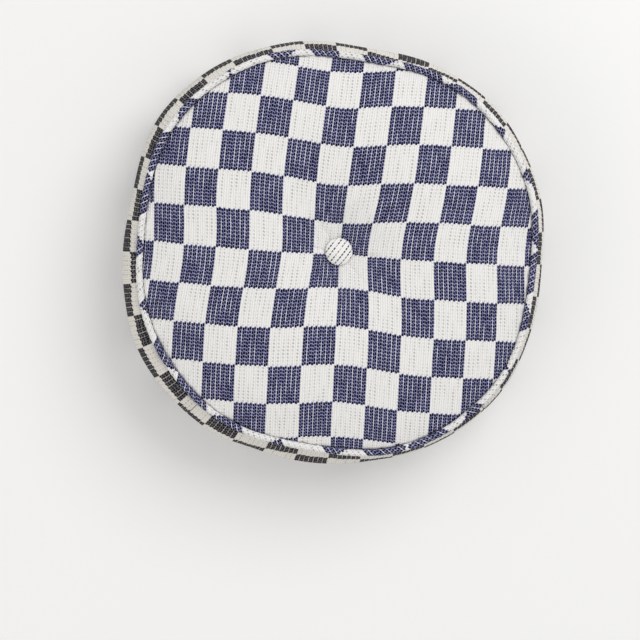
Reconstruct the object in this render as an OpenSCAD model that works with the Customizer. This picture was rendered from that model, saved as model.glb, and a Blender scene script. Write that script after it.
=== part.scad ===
// Round tufted seat cushion: two panels and a boxing sewn over a foam core, corded edges,
// a covered button on each side drawn together by one twine, and a zip at the back.
// It lies flat on z = 0, its axis is Z, and the middle of the zip is on +Y.

/* [Cushion] */
// Diameter at the fullest part of the boxing
cushion_d = 460; // [420:1:500]
// Height of the boxing between its two seams
boxing_h = 95; // [88:1:100]
// How far the boxing bulges out past the seams
bulge = 17; // [15:0.5:19]
// Height of the lower seam above the floor
seam_lift = 12; // [11:0.5:13]
// Rise of the top panel above its seam
crown = 18; // [14:0.5:20]
// Depth of the tufted dimple in the top
top_dimple = 20; // [14:0.5:22]
// Radius at which the top dimple fades out
dimple_reach = 46; // [40:1:52]
// Depth of the dimple underneath
bottom_dimple = 14; // [11:0.5:15]

/* [Cloth and filling] */
// Thickness of the cover cloth
cloth_t = 1.2; // [0.8:0.1:1.4]
// Thickness of the polyester wadding
wadding_t = 8; // [5:0.5:9]
// Gap left between one layer and the next
layer_gap = 0.3; // [0.2:0.1:0.4]
// Outside diameter of the corded piping
piping_d = 7; // [6:0.5:7.5]
// Thickness of the piping cloth
piping_cloth_t = 0.8; // [0.6:0.1:0.9]
// Width of the piping's seam flange
flange_w = 5.5; // [4:0.5:6]

/* [Button] */
// Diameter of the covered button
button_d = 28.6; // [27:0.1:30]
// Height of its dome
button_dome = 4.8; // [4:0.1:5]
// Height of its straight edge
button_skirt = 1.6; // [1.4:0.1:1.8]
// Thickness of the metal cap
cap_t = 0.8; // [0.5:0.1:0.9]
// Diameter of the wire eye's wire
eye_wire_d = 1; // [0.8:0.1:1]
// Diameter of the tufting twine
twine_d = 1.2; // [1:0.1:1.2]

/* [Zip] */
// Angle of the cushion's side that the chain of teeth takes up
zip_deg = 80; // [60:1:120]
// Width of the opening between the two zip strips
placket_w = 13; // [12:0.5:15]
// Width of each tape
tape_w = 14; // [12:0.5:15]
// Thickness of each tape
tape_t = 0.6; // [0.4:0.1:0.7]
// Distance from one tooth to the next on the same tape
tooth_pitch = 3; // [2.8:0.1:3.4]
// Thickness of the teeth
tooth_t = 2.6; // [2.2:0.1:2.6]
// Length of the slider
slider_len = 13; // [11:0.5:14]
// Length of the pull tab
pull_len = 25; // [18:0.5:30]
// Width of the pull tab
pull_w = 7.4; // [7:0.1:8]

/* [Hidden] */
$fn = 96;

cloth = "Ivory";
dark_cloth = "DarkSlateGray";
foam = "LemonChiffon";
wadding = "WhiteSmoke";
metal = "Silver";
cord = "Wheat";
tape = "AntiqueWhite";
teeth = "Linen";

// Boxing: in section it is one arc between the two seams
edge_r = cushion_d / 2;
seam_r = edge_r - bulge;
mid_z = seam_lift + boxing_h / 2;
top_seam_z = seam_lift + boxing_h;
arc_r = (pow(boxing_h / 2, 2) + bulge * bulge) / (2 * bulge);
arc_centre = edge_r - arc_r;
seam_deg = asin(boxing_h / 2 / arc_r);
steps = 24;

// Piping: its tube sits just outside the seam, and its flange points into the cushion
piping_r = piping_d / 2;
piping_out = 1.6;
piping_up = 1.5;
piping_gap = 0.35;
cord_r = piping_r - piping_cloth_t - layer_gap;
panel_r = seam_r + piping_out - piping_r - piping_gap;
boxing_end_deg = asin((boxing_h / 2 + piping_up - piping_r - piping_gap) / arc_r);

// Filling: wadding over the foam, both pierced at the centre by the twine
wadding_out = cloth_t + layer_gap;
foam_out = wadding_out + wadding_t + layer_gap;
wadding_edge_r = seam_r - 10;
foam_edge_r = seam_r - 13;
band_deg = seam_deg - 9.4;
foam_deg = seam_deg - 7.4;
flat_start = 60;
flat_end = seam_r - 45;

// Buttons and twine: the two strands loop through the eyes and are tied just above the lower one
button_r = button_d / 2;
button_ball = (button_r * button_r + button_dome * button_dome) / (2 * button_dome);
button_rest = 0.3;
tuck_r = 10.2;
back_r = 9.4;
back_t = 0.8;
eye_r = 1.9;
eye_wire_r = eye_wire_d / 2;
eye_hole_gap = 0.1;
eye_leg = 1.2;
twine_r = twine_d / 2;
strand_r = 1.4;
strand_drop = 0.45;
knot_r = 2.3;
knot_lift = 3.5;
panel_hole_r = strand_r + twine_r + 0.3;
core_hole_r = knot_r + 0.4;

// Zip: the chain follows the fullest line of the boxing
zip_start = 90 - zip_deg / 2;
zip_end = 90 + zip_deg / 2;
strip_start = zip_start - 3;
strip_end = zip_end + 3;
strip_gap_deg = 0.05;
tape_out = cloth_t + layer_gap;
chain_r = edge_r - tape_out - tape_t / 2;
tape_edge = 1.4;
tooth_w = 1.3;
tooth_head = 0.9;
tooth_root = 3;
stop_deg = 0.6;
tooth_clear_deg = 0.8;
slider_deg = zip_start + 2.5;
slide_gap = 0.35;
plate_t = 1.2;
channel_r = tooth_t / 2 + slide_gap;
slider_half_w = 4.8;
slider_side = tooth_root + 0.4;
slider_lip = 0.9;
lug_w = 2.6;
lug_r = 2.5;
lug_lift = 1.7;
pin_r = 0.8;
pin_bore_r = 1.15;
pull_t = 1.2;
pull_window = 3.6;
pull_window_half = lug_w / 2 + 0.4;
outer_plate_r = chain_r + channel_r + plate_t;
pull_axis_r = outer_plate_r + lug_lift;
groove_deg_gap = 0.5;
groove_half_w = 8;
groove_r = chain_r - channel_r - plate_t - 0.7;

// Height of the outside of the top panel: a flat crown less the dimple round the button
function top_z(r) =
    top_seam_z + crown * (1 - pow(r / seam_r, 4)) - top_dimple * exp(-pow(r / dimple_reach, 2.6));

// Height of the outside of the bottom panel: a dimple, a flat ring on the floor, a turned-up edge
function bottom_z(r) =
    r < flat_start ? bottom_dimple * (1 + cos(180 * r / flat_start)) / 2
    : r > flat_end ? seam_lift * (1 - cos(90 * (r - flat_end) / (seam_r - flat_end)))
    : 0;

// Points of the boxing's section, a distance in from its outside, from angle a to angle b
function boxing_arc(inset, a, b) = [
    for (i = [0:steps])
        let (t = a + (b - a) * i / steps)
        [arc_centre + (arc_r - inset) * cos(t), mid_z + (arc_r - inset) * sin(t)]
];

function radii(a, b) = [for (i = [0:steps]) a + (b - a) * i / steps];
function reversed(list) = [for (i = [len(list) - 1:-1:0]) list[i]];

// Stations along the bottom panel, which put a point at each end of the flat ring
function bottom_radii(a, b) = concat(
    [for (i = [0:10]) a + (flat_start - a) * i / 10],
    [for (i = [0:10]) flat_end + (b - flat_end) * i / 10]
);

module top_layer(inset, thick, r_in, r_out) {
    outside = [for (r = radii(r_in, r_out)) [r, top_z(r) - inset]];
    inside = [for (r = radii(r_in, r_out)) [r, top_z(r) - inset - thick]];
    rotate_extrude() polygon(concat(outside, reversed(inside)));
}

module bottom_layer(inset, thick, r_in, r_out) {
    outside = [for (r = bottom_radii(r_in, r_out)) [r, bottom_z(r) + inset]];
    inside = [for (r = bottom_radii(r_in, r_out)) [r, bottom_z(r) + inset + thick]];
    rotate_extrude() polygon(concat(outside, reversed(inside)));
}

// Part of a band inside the boxing, between two heights given as angles of its arc
module side_layer(inset, thick, low, high, from_deg, to_deg) {
    outside = boxing_arc(inset, low, high);
    inside = boxing_arc(inset + thick, low, high);
    rotate([0, 0, from_deg])
        rotate_extrude(angle = to_deg - from_deg)
            polygon(concat(outside, reversed(inside)));
}

module mirrored_down() {
    translate([0, 0, 2 * mid_z]) mirror([0, 0, 1]) children();
}

// ---- cover ----

module top_panel() {
    color(cloth) top_layer(0, cloth_t, panel_hole_r, panel_r);
}

module bottom_panel() {
    color(cloth) bottom_layer(0, cloth_t, panel_hole_r, panel_r);
}

module boxing_strip() {
    color(cloth)
        side_layer(0, cloth_t, -boxing_end_deg, boxing_end_deg, strip_end, strip_start + 360);
}

module zip_strip() {
    side_layer(0, cloth_t, asin(placket_w / 2 / arc_r), boxing_end_deg,
        strip_start + strip_gap_deg, strip_end - strip_gap_deg);
}

module zip_strip_upper() {
    color(cloth) zip_strip();
}

module zip_strip_lower() {
    color(cloth) mirrored_down() zip_strip();
}

// A cloth tube with its seam flange
module piping() {
    rotate_extrude()
        translate([seam_r + piping_out, top_seam_z + piping_up])
            difference() {
                union() {
                    circle(r = piping_r);
                    rotate(225) translate([0, -piping_cloth_t]) square([piping_r + flange_w, 2 * piping_cloth_t]);
                }
                circle(r = piping_r - piping_cloth_t);
            }
}

module piping_cord() {
    rotate_extrude()
        translate([seam_r + piping_out, top_seam_z + piping_up]) circle(r = cord_r);
}

module top_piping() {
    color(dark_cloth) piping();
}

module bottom_piping() {
    color(dark_cloth) mirrored_down() piping();
}

module top_piping_cord() {
    color(cord) piping_cord();
}

module bottom_piping_cord() {
    color(cord) mirrored_down() piping_cord();
}

// ---- filling ----

module foam_core() {
    top = [for (r = radii(core_hole_r, foam_edge_r)) [r, top_z(r) - foam_out]];
    side = boxing_arc(foam_out, foam_deg, -foam_deg);
    under = [for (r = reversed(bottom_radii(core_hole_r, foam_edge_r))) [r, bottom_z(r) + foam_out]];
    color(foam) rotate_extrude() polygon(concat(top, side, under));
}

module batting_top() {
    color(wadding) top_layer(wadding_out, wadding_t, core_hole_r, wadding_edge_r);
}

module batting_bottom() {
    color(wadding) bottom_layer(wadding_out, wadding_t, core_hole_r, wadding_edge_r);
}

// The side wadding is thinner behind the tapes, with a groove for the slider's inner plate
module batting_band() {
    tape_reach = asin((tape_edge + tape_w + 2) / arc_r);
    color(wadding)
        difference() {
            side_layer(wadding_out, wadding_t, -band_deg, band_deg, 0, 360);
            side_layer(cloth_t, tape_t + 2 * layer_gap, -tape_reach, tape_reach,
                strip_start - groove_deg_gap, strip_end + groove_deg_gap);
            rotate([0, 0, strip_start - groove_deg_gap])
                rotate_extrude(angle = strip_end - strip_start + 2 * groove_deg_gap)
                    translate([groove_r, mid_z - groove_half_w])
                        square([bulge, 2 * groove_half_w]);
        }
}

// ---- buttons and twine ----

top_button_z = top_z(button_r) + button_rest;
bottom_button_z = bottom_z(button_r) - button_rest;

// Dome of a button, a distance in from its outside, from the apex down to the straight edge
function dome(inset) =
    let (ball = button_ball - inset, sink = button_ball - button_dome)
    [
        for (i = [0:12])
            let (t = acos(sink / ball) * i / 12)
            [ball * sin(t), ball * cos(t) - sink + button_skirt]
    ];

function last(list) = list[len(list) - 1];

module on_top() {
    translate([0, 0, top_button_z]) children();
}

module underneath() {
    translate([0, 0, bottom_button_z]) mirror([0, 0, 1]) children();
}

// A disc of cloth drawn over the cap and tucked under its edge
module button_cover() {
    outside = dome(0);
    inside = dome(cloth_t - 0.4);
    wall_r = last(inside)[0];
    rotate_extrude()
        polygon(concat(
            outside,
            [[button_r, 0.7], [button_r - 0.7, 0], [tuck_r, 0], [tuck_r, 0.6], [wall_r, 0.6]],
            reversed(inside)
        ));
}

module button_cap() {
    outside = dome(cloth_t - 0.3);
    inside = dome(cloth_t - 0.3 + cap_t);
    rotate_extrude()
        polygon(concat(
            outside,
            [[last(outside)[0], 0.8], [last(inside)[0], 0.8]],
            reversed(inside)
        ));
}

module button_back() {
    difference() {
        translate([0, 0, button_skirt]) cylinder(h = back_t, r = back_r);
        for (side = [-1, 1])
            translate([side * eye_r, 0, 0])
                cylinder(h = 2 * button_skirt + back_t, r = eye_wire_r + eye_hole_gap, $fn = 24);
    }
}

module half_ring(r, wire_r) {
    rotate([90, 0, 0])
        rotate_extrude(angle = 180)
            translate([r, 0]) circle(r = wire_r, $fn = 24);
}

// Wire staple that hangs out of the back
module button_eye() {
    translate([0, 0, button_skirt]) {
        mirror([0, 0, 1]) half_ring(eye_r, eye_wire_r);
        for (side = [-1, 1])
            translate([side * eye_r, 0, 0]) cylinder(h = eye_leg, r = eye_wire_r, $fn = 24);
    }
}

module top_button_cover() {
    color(cloth) on_top() button_cover();
}

module top_button_cap() {
    color(metal) on_top() button_cap();
}

module top_button_back() {
    color(metal) on_top() button_back();
}

module top_button_eye() {
    color(metal) on_top() button_eye();
}

module bottom_button_cover() {
    color(cloth) underneath() button_cover();
}

module bottom_button_cap() {
    color(metal) underneath() button_cap();
}

module bottom_button_back() {
    color(metal) underneath() button_back();
}

module bottom_button_eye() {
    color(metal) underneath() button_eye();
}

module tufting_twine() {
    low = bottom_button_z + strand_drop;
    high = top_button_z - strand_drop;
    color(cord) {
        for (side = [-1, 1])
            translate([0, side * strand_r, low]) cylinder(h = high - low, r = twine_r, $fn = 24);
        translate([0, 0, high]) rotate([0, 0, 90]) half_ring(strand_r, twine_r);
        translate([0, 0, low]) rotate([180, 0, 90]) half_ring(strand_r, twine_r);
        translate([0, 0, bottom_z(0) + cloth_t + knot_lift]) sphere(r = knot_r, $fn = 32);
    }
}

// ---- zip ----

// A piece of a ring round the cushion's axis: radii a to b, heights c to d from the middle line
module arc_bar(a, b, c, d, from_deg, to_deg) {
    rotate([0, 0, from_deg])
        rotate_extrude(angle = to_deg - from_deg)
            translate([a, mid_z + c]) square([b - a, d - c]);
}

module zip_tape() {
    side_layer(tape_out, tape_t, asin(tape_edge / arc_r), asin((tape_edge + tape_w) / arc_r),
        strip_start + 1, strip_end - 1);
}

module zip_tape_upper() {
    color(tape) zip_tape();
}

module zip_tape_lower() {
    color(tape) mirrored_down() zip_tape();
}

// One row of teeth, gripping the tape's edge and reaching just past the middle line
module zip_teeth(shift) {
    pitch_deg = tooth_pitch / chain_r * 180 / PI;
    first = zip_start + tooth_clear_deg + shift * pitch_deg;
    count = floor((zip_end - tooth_clear_deg - pitch_deg / 2 - first) / pitch_deg);
    for (i = [0:count])
        rotate([0, 0, first + i * pitch_deg])
            translate([chain_r - tooth_t / 2, 0, mid_z - tooth_head])
                cube([tooth_t, tooth_w, tooth_head + tooth_root]);
}

module zip_teeth_upper() {
    color(teeth) zip_teeth(0);
}

module zip_teeth_lower() {
    color(teeth) mirrored_down() zip_teeth(0.5);
}

module zip_top_stops() {
    color(metal)
        for (side = [0, 1])
            translate([0, 0, side * 2 * mid_z])
                mirror([0, 0, side])
                    arc_bar(chain_r - tooth_t / 2, chain_r + tooth_t / 2, 0.6, tooth_root,
                        zip_start, zip_start + stop_deg);
}

module zip_bottom_stop() {
    color(metal)
        arc_bar(chain_r - tooth_t / 2, chain_r + tooth_t / 2, -tooth_root, tooth_root,
            zip_end - stop_deg, zip_end);
}

// Outline of the slider, seen from outside: broad where the teeth part, narrow where they leave
module slider_outline() {
    half = slider_len / 2;
    polygon([
        [-half, -slider_half_w + 1.4], [-half, slider_half_w - 1.4], [-half + 1.6, slider_half_w],
        [half - 4, slider_half_w], [half, slider_half_w - 0.8], [half, -slider_half_w + 0.8],
        [half - 4, -slider_half_w], [-half + 1.6, -slider_half_w]
    ]);
}

// Two bent plates round the chain, with a bored lug on the outer one
module zip_slider() {
    half_deg = slider_len / 2 / chain_r * 180 / PI + 1;
    near = chain_r - channel_r;
    far = chain_r + channel_r;
    lips = [-slider_half_w, slider_side];
    color(metal) {
        intersection() {
            union() {
                arc_bar(far, outer_plate_r, -slider_half_w, slider_half_w,
                    slider_deg - half_deg, slider_deg + half_deg);
                arc_bar(near - plate_t, near, -slider_half_w, slider_half_w,
                    slider_deg - half_deg, slider_deg + half_deg);
                for (low = lips) {
                    arc_bar(far - slider_lip, far, low, low + slider_half_w - slider_side,
                        slider_deg - half_deg, slider_deg + half_deg);
                    arc_bar(near, near + slider_lip, low, low + slider_half_w - slider_side,
                        slider_deg - half_deg, slider_deg + half_deg);
                }
            }
            rotate([0, 0, slider_deg])
                translate([chain_r - 2 * slider_half_w, 0, mid_z])
                    rotate([90, 0, 90])
                        linear_extrude(4 * slider_half_w) slider_outline();
        }
        translate([0, 0, mid_z - lug_w / 2])
            rotate([0, 0, slider_deg])
                linear_extrude(lug_w)
                    difference() {
                        union() {
                            translate([pull_axis_r, 0]) circle(r = lug_r);
                            translate([outer_plate_r - plate_t / 2, -lug_r])
                                square([pull_axis_r - outer_plate_r + plate_t / 2, 2 * lug_r]);
                        }
                        translate([pull_axis_r, 0]) circle(r = pin_bore_r);
                    }
    }
}

// Flat tab that swings on a round bar through the lug
module zip_pull() {
    half = pull_w / 2;
    color(metal)
        rotate([0, 0, slider_deg])
            translate([pull_axis_r, 0, mid_z]) {
                rotate([90, 0, 90])
                    translate([0, 0, -pull_t / 2])
                        linear_extrude(pull_t)
                            difference() {
                                union() {
                                    translate([0, -half]) square([pull_len - half, pull_w]);
                                    translate([pull_len - half, 0]) circle(r = half);
                                }
                                translate([-1, -pull_window_half])
                                    square([pull_window + 1, 2 * pull_window_half]);
                                translate([pull_len - half, 0]) circle(r = half / 2);
                            }
                translate([0, 0, -half]) cylinder(h = pull_w, r = pin_r, $fn = 32);
            }
}

top_panel();
bottom_panel();
boxing_strip();
zip_strip_upper();
zip_strip_lower();
top_piping();
bottom_piping();
top_piping_cord();
bottom_piping_cord();
foam_core();
batting_top();
batting_bottom();
batting_band();
top_button_cover();
top_button_cap();
top_button_back();
top_button_eye();
bottom_button_cover();
bottom_button_cap();
bottom_button_back();
bottom_button_eye();
tufting_twine();
zip_tape_upper();
zip_tape_lower();
zip_teeth_upper();
zip_teeth_lower();
zip_top_stops();
zip_bottom_stop();
zip_slider();
zip_pull();
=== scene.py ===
import math
import bpy
import bmesh
import numpy as np
from mathutils import Matrix, Vector


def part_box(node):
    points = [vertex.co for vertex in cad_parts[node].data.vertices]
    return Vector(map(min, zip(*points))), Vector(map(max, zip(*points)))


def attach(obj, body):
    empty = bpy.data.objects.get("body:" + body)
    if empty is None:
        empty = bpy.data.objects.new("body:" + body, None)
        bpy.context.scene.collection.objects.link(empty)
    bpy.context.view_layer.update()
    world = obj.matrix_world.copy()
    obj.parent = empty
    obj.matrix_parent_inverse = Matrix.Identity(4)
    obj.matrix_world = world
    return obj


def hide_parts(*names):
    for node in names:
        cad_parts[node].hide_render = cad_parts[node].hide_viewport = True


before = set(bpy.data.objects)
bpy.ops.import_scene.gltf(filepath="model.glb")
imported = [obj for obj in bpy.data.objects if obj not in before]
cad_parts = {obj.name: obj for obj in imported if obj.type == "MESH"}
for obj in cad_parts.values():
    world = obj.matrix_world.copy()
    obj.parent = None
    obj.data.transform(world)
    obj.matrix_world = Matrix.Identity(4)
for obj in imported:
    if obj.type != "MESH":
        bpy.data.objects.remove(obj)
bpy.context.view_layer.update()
print("frame loaded")


# Places and sizes, all from the frame.

def middle(node, axis):
    low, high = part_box(node)
    return (low[axis] + high[axis]) / 2


def size(node, axis):
    low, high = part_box(node)
    return high[axis] - low[axis]


midZ = middle("boxing_strip", 2)
edgeRadius = size("boxing_strip", 0) / 2
cordRadius = size("top_piping_cord", 2) / 2
pipingRadius = size("top_piping_cord", 0) / 2 - cordRadius
pipingZ = middle("top_piping_cord", 2)
buttonRadius = size("top_button_cover", 0) / 2
zipReach = math.degrees(math.asin(size("zip_strip_upper", 0) / 2 / edgeRadius))
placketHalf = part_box("zip_strip_upper")[0][2] - midZ

body = {
    "pipingTube": 0.0035,       # radius of the covered piping
    "seamRadius": pipingRadius - 0.0016,
    "seamZ": pipingZ - 0.0015,
    "clothThick": 0.0012,
    "zipAt": 90.0,              # the zip's middle, in degrees round the cushion
}
body["halfBoxing"] = body["seamZ"] - midZ
body["bulge"] = edgeRadius - body["seamRadius"]
body["arcRadius"] = (body["halfBoxing"] ** 2 + body["bulge"] ** 2) / (2 * body["bulge"])
body["arcCentre"] = edgeRadius - body["arcRadius"]
body["seamAngle"] = math.asin(body["halfBoxing"] / body["arcRadius"])

# Each wave is (how many times round, how far out, where it is furthest out, in degrees).
outline = {
    "seam": 0.2141,
    "seamWaves": ((1, 0.0015, 79), (2, 0.0028, 134), (3, 0.0009, 93), (4, 0.0050, 38), (8, 0.0012, 14)),
    "side": 0.2304,
    "sideWaves": ((1, 0.0028, 66), (2, 0.0013, 157), (3, 0.0007, 44), (4, 0.0055, 38), (8, 0.0008, 12)),
    "corners": ((320, 0.0030, 10), (57, 0.0012, 9)),    # fuller spots: direction, how far out, degrees wide
}


def waves(around, parts):
    # sum of slow cosine waves round the cushion
    return sum(reach * np.cos(np.radians(count * (around - peak))) for count, reach, peak in parts)


def smooth(low, high, value):
    # 0 below low, 1 above high, and an s-curve between
    share = np.clip((value - low) / (high - low), 0, 1)
    return share * share * (3 - 2 * share)


def seamStretch(around):
    return (outline["seam"] + waves(around, outline["seamWaves"])) / pipingRadius


def sideStretch(around, atZip=1):
    # the hand-sewn outline; the zip itself (atZip 1) runs on a true circle, in a hollow between its strips
    offZip = np.abs((around - body["zipAt"] + 180) % 360 - 180)
    free = 1 - (1 - smooth(zipReach - 1, zipReach + 12, offZip)) * atZip
    radius = outline["side"] + waves(around, outline["sideWaves"])
    for direction, reach, width in outline["corners"]:
        radius = radius + reach * np.exp(-(((around - direction + 180) % 360 - 180) / width) ** 2)
    return 1 + (radius / edgeRadius - 1) * free


def place(around, radius, height):
    angle = np.radians(around)
    return np.stack([radius * np.cos(angle), radius * np.sin(angle), height + 0 * radius], axis=-1)


# Meshes from grids of points.

def gridFaces(rows, columns, wrapRows, wrapColumns):
    # quads of a grid; a wrapped direction joins its last line to its first
    rowNumbers = np.arange(rows - (not wrapRows))
    a, b = np.meshgrid(rowNumbers, np.arange(columns - (not wrapColumns)), indexing="ij")
    corners = [(a, b), (a + 1, b), (a + 1, b + 1), (a, b + 1)]
    faces = np.stack([(p % rows) * columns + q % columns for p, q in corners], axis=-1)
    return faces.reshape(-1, 4), corners


def grid(points, cloth=None, wrapRows=False, wrapColumns=False, flip=False):
    # one patch: points (rows, columns, 3) and flat cloth coordinates with one more line where it wraps
    rows, columns = points.shape[:2]
    faces, corners = gridFaces(rows, columns, wrapRows, wrapColumns)
    if cloth is None:
        cloth = np.zeros((rows + 1, columns + 1, 2))
    spots = np.stack([cloth[p, q] for p, q in corners], axis=-2).reshape(-1, 4, 2)
    if flip:
        faces, spots = faces[:, ::-1], spots[:, ::-1]
    return points.reshape(-1, 3), faces, spots


def repeated(shape, faces, places):
    # one small shape (points, 3) set down at many places (count, points, 3), all in one patch
    count = len(places)
    shift = np.arange(count)[:, None, None] * len(shape)
    spots = np.zeros((count * len(faces), 4, 2))
    return places.reshape(-1, 3), (faces[None] + shift).reshape(-1, 4), spots


def piece(name, patches, material, nodes=(), rider="cushion", wall=0):
    # patches joined into one mesh, welded, given its cloth thickness and set on its body
    points = np.concatenate([p for p, f, s in patches])
    starts = np.cumsum([0] + [len(p) for p, f, s in patches])
    faces = np.concatenate([f + start for (p, f, s), start in zip(patches, starts)])
    spots = np.concatenate([s for p, f, s in patches])
    mesh = bpy.data.meshes.new(name)
    mesh.from_pydata(points.tolist(), [], faces.tolist())
    layer = mesh.uv_layers.new(name="cloth")
    layer.data.foreach_set("uv", spots.astype(np.float32).ravel())
    work = bmesh.new()
    work.from_mesh(mesh)
    bmesh.ops.remove_doubles(work, verts=work.verts, dist=1e-6)
    work.to_mesh(mesh)
    work.free()
    mesh.polygons.foreach_set("use_smooth", np.ones(len(mesh.polygons), bool))
    mesh.materials.append(material)
    thing = bpy.data.objects.new(name, mesh)
    bpy.context.scene.collection.objects.link(thing)
    if wall:
        solid = thing.modifiers.new("cloth thickness", "SOLIDIFY")
        solid.thickness = wall
        solid.offset = -1
    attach(thing, rider)
    if nodes:
        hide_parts(*nodes)
    return thing


# Short ways to write shader nodes.

def tone(red, green, blue):
    # a colour as seen on screen, turned into the linear one that shaders take
    share = np.array([red, green, blue]) / 255
    return (*np.where(share <= 0.04045, share / 12.92, ((share + 0.055) / 1.055) ** 2.4), 1)


def feed(tree, socket, value):
    if isinstance(value, bpy.types.NodeSocket):
        tree.links.new(value, socket)
    else:
        socket.default_value = value


def calc(tree, how, *values):
    node = tree.nodes.new("ShaderNodeMath")
    node.operation = how
    for socket, value in zip(node.inputs, values):
        feed(tree, socket, value)
    return node.outputs[0]


def ramp(tree, value, low, high):
    # 0 at low and 1 at high, with a soft s-curve between
    node = tree.nodes.new("ShaderNodeMapRange")
    node.interpolation_type = "SMOOTHSTEP"
    feed(tree, node.inputs["Value"], value)
    node.inputs["From Min"].default_value = low
    node.inputs["From Max"].default_value = high
    return node.outputs["Result"]


def blendColour(tree, share, first, second):
    node = tree.nodes.new("ShaderNodeMix")
    node.data_type = "RGBA"
    feed(tree, node.inputs[0], share)
    feed(tree, node.inputs[6], first)
    feed(tree, node.inputs[7], second)
    return node.outputs[2]


def noise(tree, place, scale, detail=2.0, rough=0.5):
    node = tree.nodes.new("ShaderNodeTexNoise")
    feed(tree, node.inputs["Vector"], place)
    node.inputs["Scale"].default_value = scale
    node.inputs["Detail"].default_value = detail
    node.inputs["Roughness"].default_value = rough
    return node.outputs["Fac"]


def vector(tree, x, y, z=0.0):
    node = tree.nodes.new("ShaderNodeCombineXYZ")
    for socket, value in zip(node.inputs, (x, y, z)):
        feed(tree, socket, value)
    return node.outputs[0]


def split(tree, place):
    node = tree.nodes.new("ShaderNodeSeparateXYZ")
    feed(tree, node.inputs[0], place)
    return node.outputs[0], node.outputs[1], node.outputs[2]


def objectPlace(tree):
    return tree.nodes.new("ShaderNodeTexCoord").outputs["Object"]


def newMaterial(name, roughness, metallic=0.0, sheen=0.0, shine=0.5):
    material = bpy.data.materials.new(name)
    material.use_nodes = True
    tree = material.node_tree
    shader = tree.nodes["Principled BSDF"]
    shader.inputs["Roughness"].default_value = roughness
    shader.inputs["Metallic"].default_value = metallic
    shader.inputs["Specular IOR Level"].default_value = shine
    if sheen:
        shader.inputs["Sheen Weight"].default_value = sheen
        shader.inputs["Sheen Roughness"].default_value = 0.5
    return material, tree, shader


def relief(tree, shader, height, distance, strength=1.0):
    bump = tree.nodes.new("ShaderNodeBump")
    bump.inputs["Distance"].default_value = distance
    bump.inputs["Strength"].default_value = strength
    feed(tree, bump.inputs["Height"], height)
    tree.links.new(bump.outputs[0], shader.inputs["Normal"])


# The woven cloth: dark floats in ribs, and plain cream checks with painted shade in the furrows between their
# ribs.

weave = {
    "checkWide": 0.036,         # one check across the ribs
    "checkLong": 0.040,         # one check along the ribs
    "ribs": 14,                 # ribs in one check
    "dashes": 11,               # dark floats along one check
    "slant": -0.36,             # how far a float leans across its rib, in float pitches
    "stagger": 0.2,             # how far every other rib's floats lie further along
    "floatLong": 0.76,          # share of its pitch that a dark float covers
    "floatWide": 0.90,
    "tooth": 0.03,              # how far every other rib runs past the end of its check
    "wander": 0.035,            # how far the check edges wander, in checks
}
# in both looks the furrow colour is painted shade, laid on the cream between its ribs
clothLooks = {
    "panel": {"float": (2, 3, 40), "ground": (150, 151, 192), "line": (246, 246, 255),
              "cream": (247, 246, 244), "furrowShade": (214, 211, 207), "dot": (150, 146, 142)},
    # the side: the same cloth made greyer and warmer, partly painted shade of the side and partly its look
    # from a low angle
    "side": {"float": (26, 25, 32), "ground": (122, 119, 122), "line": (214, 209, 200),
             "cream": (243, 240, 233), "furrowShade": (216, 211, 200), "dot": (168, 160, 148)},
}


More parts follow.
